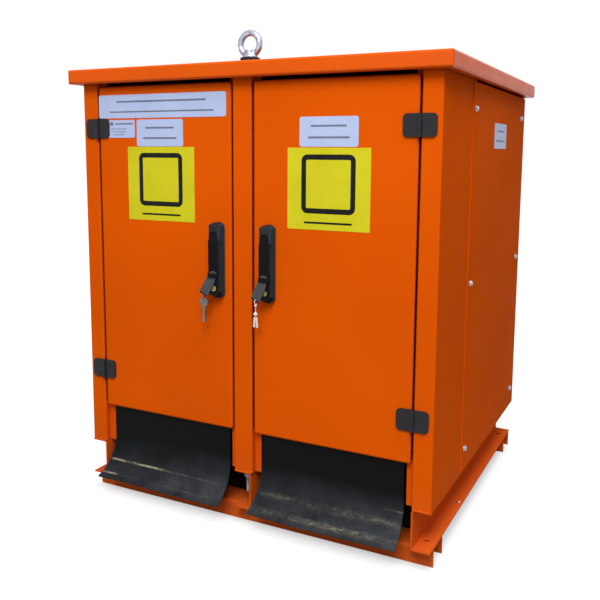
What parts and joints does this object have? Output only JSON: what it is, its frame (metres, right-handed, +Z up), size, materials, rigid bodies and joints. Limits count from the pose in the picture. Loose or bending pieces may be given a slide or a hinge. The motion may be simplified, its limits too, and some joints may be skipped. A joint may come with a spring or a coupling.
{
  "type": "compact substation",
  "caption": "Orange sheet steel kiosk for a small transformer on a skid frame, with hinged front doors, swing handles, rubber cable flaps and lifting eyes.",
  "frame": {"origin": "middle of the whole footprint on the ground, flaps and roof overhang included", "axes": "+X to the right seen from the doors, +Y from the doors to the rear panel, +Z up"},
  "size_m": [1.118, 1.0438, 1.335],
  "materials": {
    "orange_paint": "semi-gloss powder coat",
    "hinge_black": "matt black, slightly rough",
    "handle_black": "satin moulded plastic",
    "cover_grey": "worn moulded plastic",
    "lock_brass": "dull",
    "key_nickel": "worn nickel",
    "tag_white": "matt",
    "galvanised_steel": "bright zinc plate",
    "seal_rubber": "matt",
    "flap_rubber": "smooth, scuffed"
  },
  "bodies": {
    "cabinet": {"front_cross_member": "orange_paint", "rear_cross_member": "orange_paint", "left_base_beam": "orange_paint", "middle_base_beam": "orange_paint", "right_base_beam": "orange_paint", "left_front_post": "orange_paint", "middle_front_post": "orange_paint", "right_front_post": "orange_paint", "left_rear_post": "orange_paint", "right_rear_post": "orange_paint", "front_top_rail": "orange_paint", "rear_top_rail": "orange_paint", "left_side_panel": "orange_paint", "right_side_panel": "orange_paint", "rear_panel": "orange_paint", "roof": "orange_paint", "front_eye_seal": "seal_rubber", "rear_eye_seal": "seal_rubber", "front_lifting_eye": "galvanised_steel", "rear_lifting_eye": "galvanised_steel", "left_upper_frame_leaf": "hinge_black", "left_lower_frame_leaf": "hinge_black", "right_upper_frame_leaf": "hinge_black", "right_lower_frame_leaf": "hinge_black"},
    "left_door_body": {"left_door": "orange_paint", "left_upper_door_leaf": "hinge_black", "left_lower_door_leaf": "hinge_black", "left_handle_housing": "handle_black", "left_cable_flap": "flap_rubber"},
    "left_lever_body": {"left_lever": "handle_black", "left_lock_cylinder": "lock_brass"},
    "left_cover_body": {"left_lock_cover": "cover_grey", "left_key": "key_nickel"},
    "right_door_body": {"right_door": "orange_paint", "right_upper_door_leaf": "hinge_black", "right_lower_door_leaf": "hinge_black", "right_handle_housing": "handle_black", "right_cable_flap": "flap_rubber"},
    "right_lever_body": {"right_lever": "handle_black", "right_lock_cylinder": "lock_brass"},
    "right_cover_body": {"right_lock_cover": "cover_grey", "right_seal_tag": "tag_white"}
  },
  "joints": [
    {"name": "left_door_hinge", "type": "hinge", "parent": "cabinet", "child": "left_door_body", "pos_m": [-0.477, -0.46363, 0.382], "axis": [0, 0, -1], "range_deg": [0, 120]},
    {"name": "left_lever_lift", "type": "hinge", "parent": "left_door_body", "child": "left_lever_body", "pos_m": [-0.071, -0.48213, 0.8], "axis": [-1, 0, 0], "range_deg": [0, 40]},
    {"name": "left_cover_swivel", "type": "hinge", "parent": "left_lever_body", "child": "left_cover_body", "pos_m": [-0.071, -0.49063, 0.698], "axis": [0, -1, 0], "range_deg": [-60, 30]},
    {"name": "right_door_hinge", "type": "hinge", "parent": "cabinet", "child": "right_door_body", "pos_m": [0.477, -0.46363, 0.382], "axis": [0, 0, 1], "range_deg": [0, 120]},
    {"name": "right_lever_lift", "type": "hinge", "parent": "right_door_body", "child": "right_lever_body", "pos_m": [0.083, -0.48213, 0.8], "axis": [-1, 0, 0], "range_deg": [0, 40]},
    {"name": "right_cover_swivel", "type": "hinge", "parent": "right_lever_body", "child": "right_cover_body", "pos_m": [0.083, -0.49063, 0.698], "axis": [0, -1, 0], "range_deg": [-66, 24]}
  ]
}
